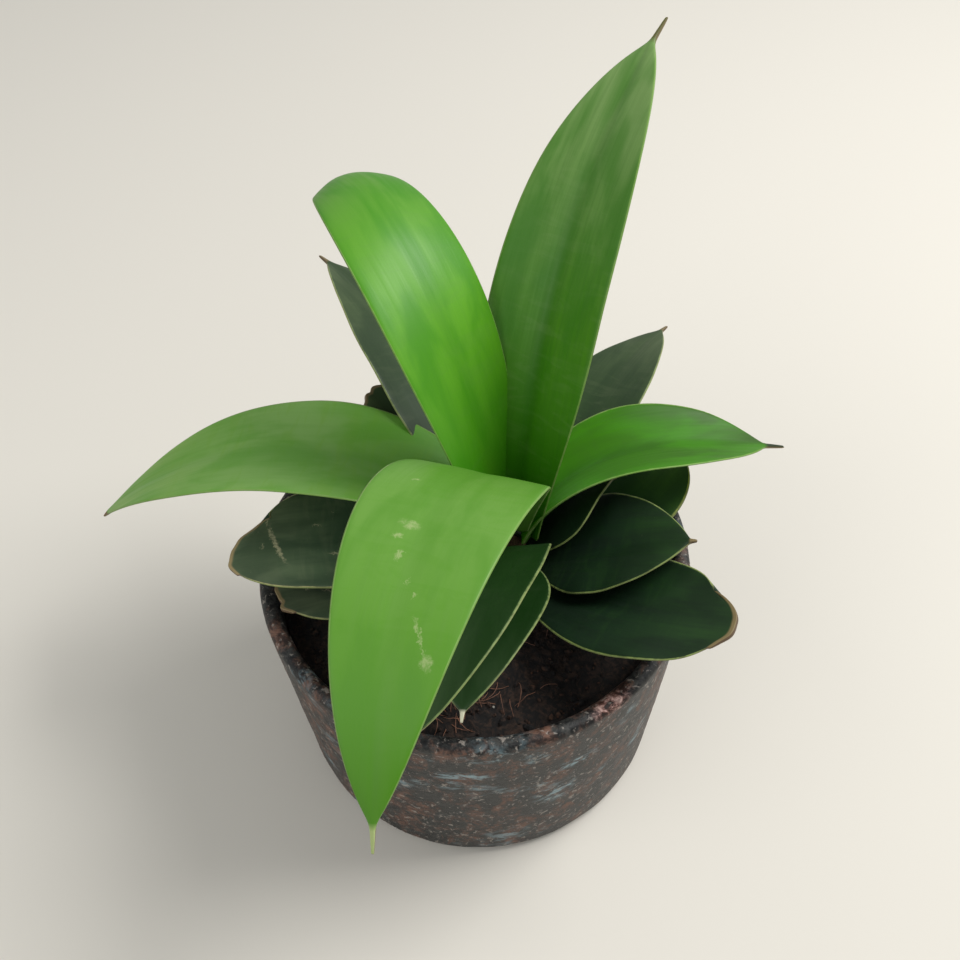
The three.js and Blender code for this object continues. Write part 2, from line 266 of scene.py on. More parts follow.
# At the front right of the rim a pink to near-white patch is painted in: a painted highlight of the light
# on the rounded rim.
rim_highlight_patch = add_patches(iron_glaze, place, PAINTED_RIM_HIGHLIGHT)
rim_highlight_colour = add_node(
    iron_glaze, "ShaderNodeMix", {6: colour("#9a4c40"), 7: colour("#e8c4b8")}, {0: grain_share},
    data_type="RGBA").outputs[2]
rim_highlight_share = add_node(
    iron_glaze, "ShaderNodeMath", None, {0: rim_highlight_patch, 1: grain_share}, operation="MULTIPLY").outputs[0]
glaze_colour = add_node(
    iron_glaze, "ShaderNodeMix", None, {0: rim_highlight_share, 6: specked, 7: rim_highlight_colour},
    data_type="RGBA").outputs[2]
gloss = add_node(
    iron_glaze, "ShaderNodeMapRange",
    {"From Min": 0.3, "From Max": 0.7, "To Min": 0.35, "To Max": 0.65}, {"Value": grain}).outputs[0]
relief = add_node(
    iron_glaze, "ShaderNodeBump", {"Strength": 0.6, "Distance": 0.0005}, {"Height": grain}).outputs[0]
iron_glaze.node_tree.links.new(glaze_colour, shader.inputs["Base Color"])
iron_glaze.node_tree.links.new(gloss, shader.inputs["Roughness"])
iron_glaze.node_tree.links.new(relief, shader.inputs["Normal"])
pot.data.materials.append(iron_glaze)

# ---- The potting mix ----------------------------------------------------------
# Peat and bark with a little perlite, poured in round the roots and firmed by
# hand. It fills the pot to just below the rim, and is crumbly on top.

SOIL_EDGE = 0.076             # its height at the wall
SOIL_MIDDLE = 0.078
SOIL_FOOT_INSET = 0.003       # how far it stays off the wall at the pot's floor
SOIL_SIDES = 96
SOIL_RINGS = 22
SOIL_LUMPS = 0.0011           # height of the lumps on its surface
CLODS = 130                   # clods to a metre, so each is about 8 mm wide
GRIT = 700                    # and 1.4 mm grit on them
CLEAR = 0.0003                # the gap left to the pot


def inner_radius(height):
    """The pot's inner radius, which grows evenly from its floor to its rim."""
    share = (height - FLOOR) / (POT_HEIGHT - FLOOR)
    low = FOOT_RADIUS - WALL
    return low + (RIM_RADIUS - WALL - low) * share


def soil_height(x, y):
    """The lumpy surface of the mix, a little mounded in the middle."""
    share = min(math.hypot(x, y) / inner_radius(SOIL_EDGE), 1)
    mound = SOIL_MIDDLE + (SOIL_EDGE - SOIL_MIDDLE) * share
    spot = Vector((x, y, 0))
    lumps = noise.fractal(spot * CLODS, 0.9, 2.1, 5) + 0.6 * noise.noise(spot * GRIT)
    return mound + lumps * SOIL_LUMPS


deselect_all()
soil_depth = SOIL_EDGE - FLOOR - CLEAR
soil_foot = inner_radius(FLOOR) - SOIL_FOOT_INSET
bpy.ops.mesh.primitive_cylinder_add(
    vertices=SOIL_SIDES, radius=soil_foot, depth=soil_depth,
    location=(0, 0, SOIL_EDGE - soil_depth / 2), end_fill_type="NGON",
)
place_applied()
soil = name_piece("potting_mix")
bpy.ops.object.mode_set(mode="EDIT")
bpy.ops.mesh.select_mode(type="FACE")
select_faces(soil, lambda face: face.normal.z > 0.9)
soil_share = (inner_radius(SOIL_EDGE) - CLEAR) / soil_foot
bpy.ops.transform.resize(value=(soil_share, soil_share, 1))
for _ in range(SOIL_RINGS):
    bpy.ops.mesh.inset(thickness=inner_radius(SOIL_EDGE) / (SOIL_RINGS + 1))
bpy.ops.mesh.poke()
select_faces(soil, lambda face: face.normal.z > 0.9)
bpy.ops.mesh.subdivide(number_cuts=2)
bpy.ops.object.mode_set(mode="OBJECT")
for vertex in soil.data.vertices:
    if vertex.co.z > SOIL_EDGE - SAME_PLACE:
        vertex.co.z = soil_height(vertex.co.x, vertex.co.y)
bpy.ops.object.shade_smooth_by_angle(angle=math.radians(60))
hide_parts("soil")

# Damp peat: nearly black, matt, with browner bark crumbs in it.
peat = bpy.data.materials.new("damp_peat")
peat.use_nodes = True
shader = peat.node_tree.nodes["Principled BSDF"]
shader.inputs["IOR"].default_value = 1.4
shader.inputs["Roughness"].default_value = 0.9
place = add_node(peat, "ShaderNodeTexCoord").outputs["Object"]
# Crumbs of about 2 mm, and the finer grain within them.
crumb_tone = add_node(
    peat, "ShaderNodeTexNoise",
    {"Scale": 480, "Detail": 6, "Roughness": 0.7, "Distortion": 0.6}, {"Vector": place})
crumb_share = add_node(
    peat, "ShaderNodeMapRange", {"From Min": 0.42, "From Max": 0.7},
    {"Value": crumb_tone.outputs["Fac"]}, interpolation_type="SMOOTHSTEP")
peat_colour = add_node(
    peat, "ShaderNodeMix", {6: colour("#131110"), 7: colour("#3a2b22")},
    {0: crumb_share.outputs[0]}, data_type="RGBA")
relief = add_node(
    peat, "ShaderNodeBump", {"Strength": 0.8, "Distance": 0.0008},
    {"Height": crumb_tone.outputs["Fac"]})
peat.node_tree.links.new(peat_colour.outputs[2], shader.inputs["Base Color"])
peat.node_tree.links.new(relief.outputs[0], shader.inputs["Normal"])
soil.data.materials.append(peat)

# ---- Crumbs, fibres and grains on the mix -------------------------------------------
# Loose bits on top of the mix: crumbs of composted bark, coir fibres from the
# peat, and a few white grains of perlite. Each lies half sunk in the surface.

CRUMBS = 900
CRUMB_SIZES = (0.0005, 0.0016)    # smallest and largest radius
PERLITE_GRAINS = 26
PERLITE_SIZES = (0.0004, 0.0009)
MOSTLY_SMALL = 2.5                # above 1, small bits outnumber large ones
FIBRES = 110
FIBRE_LENGTHS = (0.002, 0.008)
FIBRE_RADIUS = 0.00012
FIBRE_STEPS = 8
FIBRE_DRIFT = ((-0.008, 0.007), (-0.045, 0.004))    # its middle and spread, in X and in Y


def random_spot(dice, edge=0.003):
    """A random place on the mix, clear of the pot's wall."""
    radius = (inner_radius(SOIL_EDGE) - edge) * math.sqrt(dice.random())
    turn = dice.uniform(0, 2 * math.pi)
    return radius * math.cos(turn), radius * math.sin(turn)


def join_copies(template, copies, name, material):
    """Joins copies of a template's mesh into one piece, and removes the template."""
    deselect_all()
    for mesh in copies:
        copy = bpy.data.objects.new(name, mesh)
        bpy.context.collection.objects.link(copy)
        copy.select_set(True)
        bpy.context.view_layer.objects.active = copy
    bpy.data.objects.remove(template)
    bpy.ops.object.join()
    piece = name_piece(name)
    piece.data.materials.clear()
    piece.data.materials.append(material)
    return piece


def scatter_bits(name, count, sizes, seed, spot, material):
    """Strews rough lumps over the mix, each one a jostled and squashed copy of one lump."""
    dice = random.Random(seed)
    deselect_all()
    bpy.ops.mesh.primitive_ico_sphere_add(subdivisions=1, radius=1, location=(0, 0, 0))
    lump = bpy.context.object
    copies = []
    for _ in range(count):
        mesh = lump.data.copy()
        size = sizes[0] + (sizes[1] - sizes[0]) * dice.random() ** MOSTLY_SMALL
        x, y = spot(dice)
        turn = Quaternion(
            (dice.gauss(0, 1), dice.gauss(0, 1), dice.gauss(0, 1)), dice.uniform(0, 3))
        squash = Vector((dice.uniform(0.7, 1.3), dice.uniform(0.5, 1), dice.uniform(0.4, 0.9)))
        middle = Vector((x, y, soil_height(x, y) + size * dice.uniform(0, 0.5)))
        for vertex in mesh.vertices:
            jostled = vertex.co * dice.uniform(0.75, 1.2)
            vertex.co = middle + turn @ (jostled * squash * size)
        copies.append(mesh)
    return join_copies(lump, copies, name, material)


# Composted bark: fibrous, matt, from nearly black to a dull red brown.
bark = bpy.data.materials.new("composted_bark")
bark.use_nodes = True
shader = bark.node_tree.nodes["Principled BSDF"]
shader.inputs["IOR"].default_value = 1.45
shader.inputs["Roughness"].default_value = 0.85
place = add_node(bark, "ShaderNodeTexCoord").outputs["Object"]
# The tone changes from crumb to crumb, about every 2 mm.
bark_tone = add_node(
    bark, "ShaderNodeTexNoise", {"Scale": 420, "Detail": 4, "Roughness": 0.7},
    {"Vector": place}).outputs[0]
bark_share = add_node(
    bark, "ShaderNodeMapRange", {"From Min": 0.42, "From Max": 0.72}, {"Value": bark_tone},
    interpolation_type="SMOOTHSTEP").outputs[0]
bark_colour = add_node(
    bark, "ShaderNodeMix", {6: colour("#0c0a09"), 7: colour("#4a3020")}, {0: bark_share},
    data_type="RGBA").outputs[2]
bark.node_tree.links.new(bark_colour, shader.inputs["Base Color"])
scatter_bits("bark_crumbs", CRUMBS, CRUMB_SIZES, 4, random_spot, bark)

# Perlite: volcanic glass puffed by heat into a matt, off-white foam.
perlite = bpy.data.materials.new("expanded_perlite")
perlite.use_nodes = True
shader = perlite.node_tree.nodes["Principled BSDF"]
shader.inputs["Roughness"].default_value = 0.9
place = add_node(perlite, "ShaderNodeTexCoord").outputs["Object"]
# Its pores are too fine to show, so they are drawn 0.4 mm across.
pores = add_node(
    perlite, "ShaderNodeTexNoise", {"Scale": 2500, "Detail": 2}, {"Vector": place}).outputs[0]
perlite_colour = add_node(
    perlite, "ShaderNodeMix", {6: colour("#8f887c"), 7: colour("#d8d4c8")}, {0: pores},
    data_type="RGBA").outputs[2]
perlite.node_tree.links.new(perlite_colour, shader.inputs["Base Color"])
scatter_bits("perlite_grains", PERLITE_GRAINS, PERLITE_SIZES, 9, random_spot, perlite)

# Coir: coarse, springy red-brown fibres, whose tone changes about every 6 mm. Half of
# them lie in a drift at the front.
coir = bpy.data.materials.new("coir_fibre")
coir.use_nodes = True
shader = coir.node_tree.nodes["Principled BSDF"]
shader.inputs["Roughness"].default_value = 0.6
place = add_node(coir, "ShaderNodeTexCoord").outputs["Object"]
coir_tone = add_node(
    coir, "ShaderNodeTexNoise", {"Scale": 160, "Detail": 2}, {"Vector": place}).outputs[0]
coir_colour = add_node(
    coir, "ShaderNodeMix", {6: colour("#2a1610"), 7: colour("#9a6a50")}, {0: coir_tone},
    data_type="RGBA").outputs[2]
coir.node_tree.links.new(coir_colour, shader.inputs["Base Color"])
deselect_all()
bpy.ops.mesh.primitive_cylinder_add(
    vertices=5, radius=1, depth=1, location=(0, 0, 0.5), end_fill_type="NGON")
place_applied()
fibre = bpy.context.object
bpy.ops.object.mode_set(mode="EDIT")
bpy.ops.mesh.select_mode(type="EDGE")
select_edges(fibre, lambda edge: abs(edge.verts[0].co.z - edge.verts[1].co.z) > 0.5)
bpy.ops.mesh.subdivide(number_cuts=FIBRE_STEPS - 1)
bpy.ops.object.mode_set(mode="OBJECT")
dice = random.Random(21)
fibres = []
for number in range(FIBRES):
    mesh = fibre.data.copy()
    if number % 2:
        start = Vector((dice.gauss(*FIBRE_DRIFT[0]), dice.gauss(*FIBRE_DRIFT[1]), 0))
    else:
        start = Vector((*random_spot(dice, 0.008), 0))
    length = dice.uniform(*FIBRE_LENGTHS)
    heading = dice.uniform(0, 2 * math.pi)
    curl = dice.uniform(-0.7, 0.7)
    spring = dice.uniform(0, 0.35) * length
    for vertex in mesh.vertices:
        run = vertex.co.z
        turn = heading + curl * run
        outward = Vector((math.cos(turn), math.sin(turn), 0))
        middle = start + outward * length * (run - 0.5)
        reach = middle.xy.length / (inner_radius(SOIL_EDGE) - 0.001)
        if reach > 1:
            middle.xy /= reach
        middle.z = soil_height(middle.x, middle.y) + FIBRE_RADIUS + spring * math.sin(math.pi * run)
        sideways = Vector((-outward.y, outward.x, 0))
        radius = FIBRE_RADIUS * (1 - 0.5 * run)
        vertex.co = middle + sideways * vertex.co.x * radius + Vector((0, 0, vertex.co.y * radius))
    fibres.append(mesh)
join_copies(fibre, fibres, "coir_fibres", coir)
bpy.ops.object.mode_set(mode="EDIT")
bpy.ops.mesh.select_all(action="SELECT")
bpy.ops.mesh.normals_make_consistent(inside=False)
bpy.ops.object.mode_set(mode="OBJECT")

# ---- The young leaves -----------------------------------------------------------
# Five fresh leaves in the middle of the rosette, thick, smooth and channelled,
# each clasping the one inside it at its foot and ending in a short stiff spine.

PLANT = Vector((0.012, 0.002, SOIL_MIDDLE))
LEAF_FOOT_THICKNESS = 0.0034
LEAF_TIP_THICKNESS = 0.0016
LEAF_EDGE_THICKNESS = 0.0006
SPINE_RADIUS = 0.0007
SPINE_END = 0.4               # the spine's end, as a share of its start
BLADE_COLUMNS = 14
BLADE_ROWS = 60
BLADE_SHARE = 0.92            # share of the rows that the blade has; the spine has the rest
FOOT_FLARE = 1.3              # above 1 a leaf stays narrow for longer near its foot
TIP_FULLNESS = 2.1            # higher keeps it broad nearer to its tip
TIP_BLUNTNESS = 0.8           # lower makes the tip rounder
CUP_CURVE = 1.7               # higher keeps the middle flatter and turns up the edges
GROOVE_WIDTH = 0.16           # share of the half width
LOST_TIP = 0.12               # share of its outline that a ragged leaf has lost
TEAR_FADE = 6                 # higher keeps a tear nearer to the leaf's end
NEXT_LEAF = 0.25              # how far one leaf's pattern is moved along from the last one's

# heading is the way a leaf grows, 0 to the right and 90 to the back; lean is its
# slope away from upright; twist turns it about its midrib: each in degrees at the
# foot, the middle and the tip. cup is how far its edges rise above its midrib at
# foot and tip; rise and reach place its foot; widest and foot are shares of its
# length and width, and tip is a tip fullness of its own. wave is how far its edges
# waver, and groove how deep its midrib is sunk. ragged is how much of its end is
# torn away, slant how much more at its left edge, looking from its foot, and less
# at its right, and corner how much more at both. Sizes are in millimetres.
YOUNG_LEAVES = [
    dict(name="leaf_tall", heading=(73, 65, 53), lean=(14, 35, 63), twist=(-18, -19, -20),
         length=144, width=37, cup=(5, 2), reach=3, rise=12.5, widest=0.49, foot=0.48, tip=2.75,
         spine=8, wave=0.3, groove=0.9, ragged=0),
    dict(name="leaf_arched_back", heading=(141, 122, 117), lean=(17, 45, 183), twist=(2, 13, -11),
         length=160, width=35, cup=(6, -7), reach=4, rise=11, widest=0.48, foot=0.52,
         spine=5, wave=0.3, groove=0.2, ragged=0),
    dict(name="leaf_right", heading=(40, 10, 8), lean=(30, 82, 106), twist=(-28, -12, -11),
         length=84, width=31, cup=(7, 4), reach=4, rise=10, widest=0.51, foot=0.48,
         spine=7, wave=0.6, groove=0.5, ragged=0),
    dict(name="leaf_front", heading=(235, 250, 265), lean=(-3, 74, 143), twist=(16, 4, 7),
         length=145, width=40, cup=(1, 2), reach=5, rise=22, widest=0.39, foot=0.35, tip=1.76,
         spine=7, wave=0.4, groove=0.3, ragged=0),
    dict(name="leaf_left", heading=(161, 171, 178), lean=(46, 100, 135), twist=(-3, 6, 16),
         length=142, width=39, cup=(4, 2), reach=5, rise=16, widest=0.45, foot=0.5,
         spine=3, wave=0.5, groove=0.3, ragged=0),
]


def through(values, share):
    """A smooth curve through the values at a leaf's foot, middle and tip."""
    foot, middle, tip = values
    from_foot = foot * (1 - share) * (1 - 2 * share)
    return from_foot + middle * 4 * share * (1 - share) + tip * share * (2 * share - 1)


def width_share(leaf, share):
    """The leaf's width at a share of its length, as a share of its greatest width."""
    if share < leaf["widest"]:
        opening = math.sin(share / leaf["widest"] * math.pi / 2) ** FOOT_FLARE
        return leaf["foot"] + (1 - leaf["foot"]) * opening
    closing = min((share - leaf["widest"]) / (1 - leaf["widest"]), 1)
    return (1 - closing ** leaf.get("tip", TIP_FULLNESS)) ** TIP_BLUNTNESS


def leaf_axes(leaf, share):
    """The leaf's own directions at a share of its length: along, across and out of its upper face."""
    heading = math.radians(through(leaf["heading"], share))
    lean = math.radians(through(leaf["lean"], share))
    twist = math.radians(through(leaf["twist"], share))
    level_run = math.sin(lean)
    along = Vector((level_run * math.cos(heading), level_run * math.sin(heading), math.cos(lean)))
    level = Vector((-math.sin(heading), math.cos(heading), 0))
    across = level * math.cos(twist) + along.cross(level) * math.sin(twist)
    return along, across, along.cross(across)


def grow_leaf(leaf, number, skins):
    """Makes one leaf as a grid laid along its midrib, then gives it its thickness and smooths it."""
    deselect_all()
    bpy.ops.mesh.primitive_grid_add(x_subdivisions=BLADE_COLUMNS, y_subdivisions=BLADE_ROWS, size=1)
    piece = name_piece(leaf["name"] + "_blade")
    for skin in skins:
        piece.data.materials.append(skin)
    rows = {}
    for vertex in piece.data.vertices:
        rows.setdefault(round(vertex.co.y + 0.5, 5), []).append(vertex)
    length = leaf["length"] / 1000
    spine = leaf["spine"] / 1000
    heading = math.radians(leaf["heading"][0])
    centre = PLANT + Vector((math.cos(heading), math.sin(heading), 0)) * leaf["reach"] / 1000
    centre.z += leaf["rise"] / 1000
    thickness = piece.vertex_groups.new(name="thickness")
    to_margin = [0] * len(piece.data.vertices)
    along_leaf = [0] * len(piece.data.vertices)
    places = {}
    last = 0
    for row in sorted(rows):
        on_blade = min(row / BLADE_SHARE, 1)
        on_spine = max((row - BLADE_SHARE) / (1 - BLADE_SHARE), 0)
        run = length * on_blade + spine * on_spine
        step_share = (on_blade + last / length) / 2 if last < length else 1
        centre = centre + leaf_axes(leaf, step_share)[0] * (run - last)
        last = run
        along, across, upper = leaf_axes(leaf, on_blade)
        spine_radius = SPINE_RADIUS * (1 - (1 - SPINE_END) * on_spine)
        share = width_share(leaf, on_blade * (1 - LOST_TIP) if leaf["ragged"] else on_blade)
        half_width = math.hypot(leaf["width"] / 2000 * share, spine_radius)
        thinned = (LEAF_TIP_THICKNESS - LEAF_FOOT_THICKNESS) * on_blade
        middle_thickness = LEAF_FOOT_THICKNESS + thinned
        cup = (leaf["cup"][0] + (leaf["cup"][1] - leaf["cup"][0]) * on_blade) / 1000 * share
        for vertex in rows[row]:
            side = -2 * vertex.co.x
            waver = noise.noise(Vector((on_blade * 5, round(side), number * 5.3)))
            lift = cup * abs(side) ** CUP_CURVE
            lift += leaf["wave"] / 1000 * waver * side ** 2 * min(share * 2, 1) * min(on_blade * 4, 1)
            lift -= leaf["groove"] / 1000 * math.exp(-(side / GROOVE_WIDTH) ** 2) * share
            tear = 0
            if leaf["ragged"]:
                seed = Vector((side * 2.5, on_blade * 2, number * 9.7))
                torn = leaf["ragged"] * (0.6 + 0.5 * noise.fractal(seed, 0.9, 2.0, 4))
                torn += leaf["slant"] * side + leaf["corner"] * side ** 2
                tear = torn / 1000 * on_blade ** TEAR_FADE
            place = centre + across * side * half_width + upper * lift - along * tear
            half = LEAF_EDGE_THICKNESS + (middle_thickness - LEAF_EDGE_THICKNESS) * (1 - side * side)
            if half_width < SPINE_RADIUS * 3:
                half = min(half, half_width * 2)
            thickness.add([vertex.index], half / LEAF_FOOT_THICKNESS, "REPLACE")
            to_margin[vertex.index] = (1 - abs(side)) * half_width * 1000
            along_leaf[vertex.index] = on_blade
            places[vertex.index] = (side * half_width, run + number * NEXT_LEAF)
            vertex.co = place
    blade_map = piece.data.uv_layers.active
    blade_map.name = "blade"
    for loop in piece.data.loops:
        blade_map.data[loop.index].uv = places[loop.vertex_index]
    piece.data.attributes.new("to_margin", "FLOAT", "POINT").data.foreach_set("value", to_margin)
    piece.data.attributes.new("along", "FLOAT", "POINT").data.foreach_set("value", along_leaf)
    solid = piece.modifiers.new("thickness", "SOLIDIFY")
    solid.thickness = LEAF_FOOT_THICKNESS
    solid.offset = 0
    solid.vertex_group = "thickness"
    solid.material_offset = 1
    solid.material_offset_rim = 2
    smooth = piece.modifiers.new("smooth", "SUBSURF")
    smooth.levels = 1
    smooth.render_levels = 1
    bpy.ops.object.modifier_apply(modifier="thickness")
    bpy.ops.object.modifier_apply(modifier="smooth")
    bpy.ops.object.shade_smooth()
    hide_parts(leaf["name"])
    return piece


def leaf_skin(name, foot, blade, tip, channel_shade_and_vein_colour, margin, margin_width, bands, scars, sheen,
              spine="#75684a", scar_colour="#b3ac88", marks=()):
    """A leaf's waxy face. Widths are in millimetres, and bands, scars and sheen are shares from 0 to 1."""
    skin = bpy.data.materials.new(name)
    skin.use_nodes = True
    shader = skin.node_tree.nodes["Principled BSDF"]
    shader.inputs["IOR"].default_value = 1.45
    shader.inputs["Specular IOR Level"].default_value = 0.3
    shader.inputs["Coat Weight"].default_value = sheen
    shader.inputs["Coat Roughness"].default_value = 0.3
    blade_place = add_node(skin, "ShaderNodeUVMap", uv_map="blade").outputs[0]
    along = add_node(skin, "ShaderNodeAttribute", attribute_name="along").outputs["Fac"]
    to_margin = add_node(skin, "ShaderNodeAttribute", attribute_name="to_margin").outputs["Fac"]
    # Veins about 1.2 mm apart run the whole length of the blade.
    vein_place = add_node(
        skin, "ShaderNodeMapping", {"Scale": (850, 22, 1)}, {"Vector": blade_place}).outputs[0]
    veins = add_node(
        skin, "ShaderNodeTexNoise", {"Scale": 1, "Detail": 4, "Roughness": 0.6, "Distortion": 0.15},
        {"Vector": vein_place}).outputs["Fac"]
    # Faint bands cross it every 4 mm or so, as on other snake plants.
    band_place = add_node(
        skin, "ShaderNodeMapping", {"Scale": (60, 240, 1)}, {"Vector": blade_place}).outputs[0]
    band = add_node(
        skin, "ShaderNodeTexNoise", {"Scale": 1, "Detail": 4, "Roughness": 0.55, "Distortion": 1.2},
        {"Vector": band_place}).outputs["Fac"]
    # Darker clouds, 9 mm wide and 28 mm long, lie along it.
    cloud_place = add_node(
        skin, "ShaderNodeMapping", {"Scale": (110, 36, 1)}, {"Vector": blade_place}).outputs[0]
    cloud = add_node(
        skin, "ShaderNodeTexNoise", {"Scale": 1, "Detail": 3, "Roughness": 0.5, "Distortion": 0.4},
        {"Vector": cloud_place}).outputs["Fac"]
    # The colour changes along the blade, from its shaded foot to its tip. The tip colour, greyer on most
    # leaves, is partly the leaf's own and partly painted sheen of reflected sky.
    from_foot = add_node(
        skin, "ShaderNodeMapRange", {"From Min": 0.05, "From Max": 0.5}, {"Value": along},
        interpolation_type="SMOOTHSTEP").outputs[0]
    tip_and_sheen_share = add_node(
        skin, "ShaderNodeMapRange", {"From Min": 0.45, "From Max": 1}, {"Value": along},
        interpolation_type="SMOOTHSTEP").outputs[0]
    low = add_node(
        skin, "ShaderNodeMix", {6: colour(foot), 7: colour(blade)}, {0: from_foot},
        data_type="RGBA").outputs[2]
    green = add_node(
        skin, "ShaderNodeMix", {7: colour(tip)}, {0: tip_and_sheen_share, 6: low}, data_type="RGBA").outputs[2]
    # The midrib's channel is darker: painted shade in the groove, fading toward the tip. The same colour
    # also draws the veins below.
    across = add_node(skin, "ShaderNodeSeparateXYZ", None, {0: blade_place}).outputs[0]
    off_midrib = add_node(skin, "ShaderNodeMath", None, {0: across}, operation="ABSOLUTE").outputs[0]
    painted_channel_shade = add_node(
        skin, "ShaderNodeMapRange", {"From Min": 0.0042, "From Max": 0.0003, "To Max": 0.6},
        {"Value": off_midrib}, interpolation_type="SMOOTHSTEP").outputs[0]
    off_tip = add_node(
        skin, "ShaderNodeMapRange", {"From Min": 0.9, "From Max": 0.3, "To Min": 0.35},
        {"Value": along}).outputs[0]
    painted_channel_shade = add_node(
        skin, "ShaderNodeMath", None, {0: painted_channel_shade, 1: off_tip}, operation="MULTIPLY").outputs[0]
    green = add_node(
        skin, "ShaderNodeMix", {7: colour(channel_shade_and_vein_colour)}, {0: painted_channel_shade, 6: green},
        data_type="RGBA").outputs[2]
    vein_share = add_node(
        skin, "ShaderNodeMapRange", {"From Min": 0.35, "From Max": 0.75, "To Max": 0.3},
        {"Value": veins}).outputs[0]
    green = add_node(
        skin, "ShaderNodeMix", {7: colour(channel_shade_and_vein_colour)}, {0: vein_share, 6: green},
        data_type="RGBA").outputs[2]
    band_share = add_node(
        skin, "ShaderNodeMapRange", {"From Min": 0.48, "From Max": 0.66, "To Max": bands},
        {"Value": band}, interpolation_type="SMOOTHSTEP").outputs[0]
    green = add_node(
        skin, "ShaderNodeMix", {7: colour(tip)}, {0: band_share, 6: green},
        data_type="RGBA").outputs[2]
    cloud_share = add_node(
        skin, "ShaderNodeMapRange", {"From Min": 0.38, "From Max": 0.66, "To Max": 0.6},
        {"Value": cloud}, interpolation_type="SMOOTHSTEP").outputs[0]
    green = add_node(
        skin, "ShaderNodeMix", {7: colour(foot)}, {0: cloud_share, 6: green},
        data_type="RGBA").outputs[2]
    # Old grazes and pests leave corky, pale scars, about 2 by 3 mm.
    scar_place = add_node(
        skin, "ShaderNodeMapping", {"Scale": (520, 300, 1)}, {"Vector": blade_place}).outputs[0]
    scar = add_node(
        skin, "ShaderNodeTexNoise", {"Scale": 1, "Detail": 5, "Roughness": 0.7, "Distortion": 1.8},
        {"Vector": scar_place}).outputs["Fac"]
    scar_low = 0.82 - 0.2 * scars
    scar_share = add_node(
        skin, "ShaderNodeMapRange",
        {"From Min": scar_low, "From Max": scar_low + 0.05, "To Max": 0.8 if scars else 0},
        {"Value": scar}, interpolation_type="SMOOTHSTEP").outputs[0]
    if marks:
        # Larger single marks have ragged outlines, which stray by up to a millimetre.
        stray = add_node(
            skin, "ShaderNodeTexNoise", {"Scale": 900, "Detail": 4, "Roughness": 0.7},
            {"Vector": blade_place}).outputs["Color"]
        stray_place = add_node(
            skin, "ShaderNodeVectorMath", {1: (0.004, 0.004, 0)}, {0: stray, 2: blade_place},
            operation="MULTIPLY_ADD").outputs[0]
        marked = add_patches(skin, stray_place, marks)
        broken_up = add_node(
            skin, "ShaderNodeMapRange",
            {"From Min": 0.36, "From Max": 0.56, "To Min": 0.1, "To Max": 0.55},
            {"Value": scar}).outputs[0]
        marked = add_node(
            skin, "ShaderNodeMath", None, {0: marked, 1: broken_up}, operation="MULTIPLY").outputs[0]
        scar_share = add_node(
            skin, "ShaderNodeMath", None, {0: scar_share, 1: marked}, operation="MAXIMUM").outputs[0]
    green = add_node(
        skin, "ShaderNodeMix", {7: colour(scar_colour)}, {0: scar_share, 6: green},
        data_type="RGBA").outputs[2]
    # The thin margin is paler, worn away in places, and ends before the spine.
    at_margin = add_node(
        skin, "ShaderNodeMapRange", {"From Min": margin_width, "From Max": margin_width * 0.35},
        {"Value": to_margin}, interpolation_type="SMOOTHSTEP").outputs[0]
    before_spine = add_node(
        skin, "ShaderNodeMapRange", {"From Min": 0.985, "From Max": 0.95}, {"Value": along}).outputs[0]
    margin_wear = add_node(
        skin, "ShaderNodeMapRange", {"From Min": 0.36, "From Max": 0.6, "To Min": 0.25},
        {"Value": band}).outputs[0]
    worn_margin = add_node(
        skin, "ShaderNodeMath", None, {0: at_margin, 1: margin_wear}, operation="MULTIPLY").outputs[0]
    margin_share = add_node(
        skin, "ShaderNodeMath", None, {0: worn_margin, 1: before_spine}, operation="MULTIPLY").outputs[0]
    green = add_node(
        skin, "ShaderNodeMix", {7: colour(margin)}, {0: margin_share, 6: green},
        data_type="RGBA").outputs[2]
    # The spine, and the very end of the blade, are dry.
    dry = add_node(
        skin, "ShaderNodeMapRange", {"From Min": 0.996, "From Max": 1}, {"Value": along}).outputs[0]
    green = add_node(
        skin, "ShaderNodeMix", {7: colour(spine)}, {0: dry, 6: green}, data_type="RGBA").outputs[2]
    gloss = add_node(
        skin, "ShaderNodeMapRange",
        {"From Min": 0.3, "From Max": 0.7, "To Min": 0.4, "To Max": 0.55}, {"Value": veins}).outputs[0]
    height = add_node(
        skin, "ShaderNodeMath", {1: 0.5}, {0: veins, 2: cloud}, operation="MULTIPLY_ADD").outputs[0]
    relief = add_node(
        skin, "ShaderNodeBump", {"Strength": 0.3, "Distance": 0.00025}, {"Height": height}).outputs[0]
    skin.node_tree.links.new(green, shader.inputs["Base Color"])
    skin.node_tree.links.new(gloss, shader.inputs["Roughness"])
    skin.node_tree.links.new(relief, shader.inputs["Normal"])
    return skin


def mark(number, along, across, length, width, turn=0):
    """One pale mark on a numbered leaf: its place, length and width in millimetres, and its turn."""
    middle = (across / 1000, along / 1000 + number * NEXT_LEAF, 0)
    return middle, (width / 2000, length / 2000, 1), turn


FRONT_MARKS = [               # a trail of grazes down the front leaf, which is number 3
    mark(3, 63, -8, 2.5, 1.2, 70), mark(3, 80, -2.5, 3.5, 6.5, 10), mark(3, 84, -4, 2, 3),
    mark(3, 89, -2, 4, 1.8, 10), mark(3, 95, 2, 2.2, 0.8, 20), mark(3, 98, 4.5, 2.2, 0.8, 20),
    mark(3, 107, 8, 13, 1.1, -26), mark(3, 112, 10.5, 5, 3.2, -20),
]
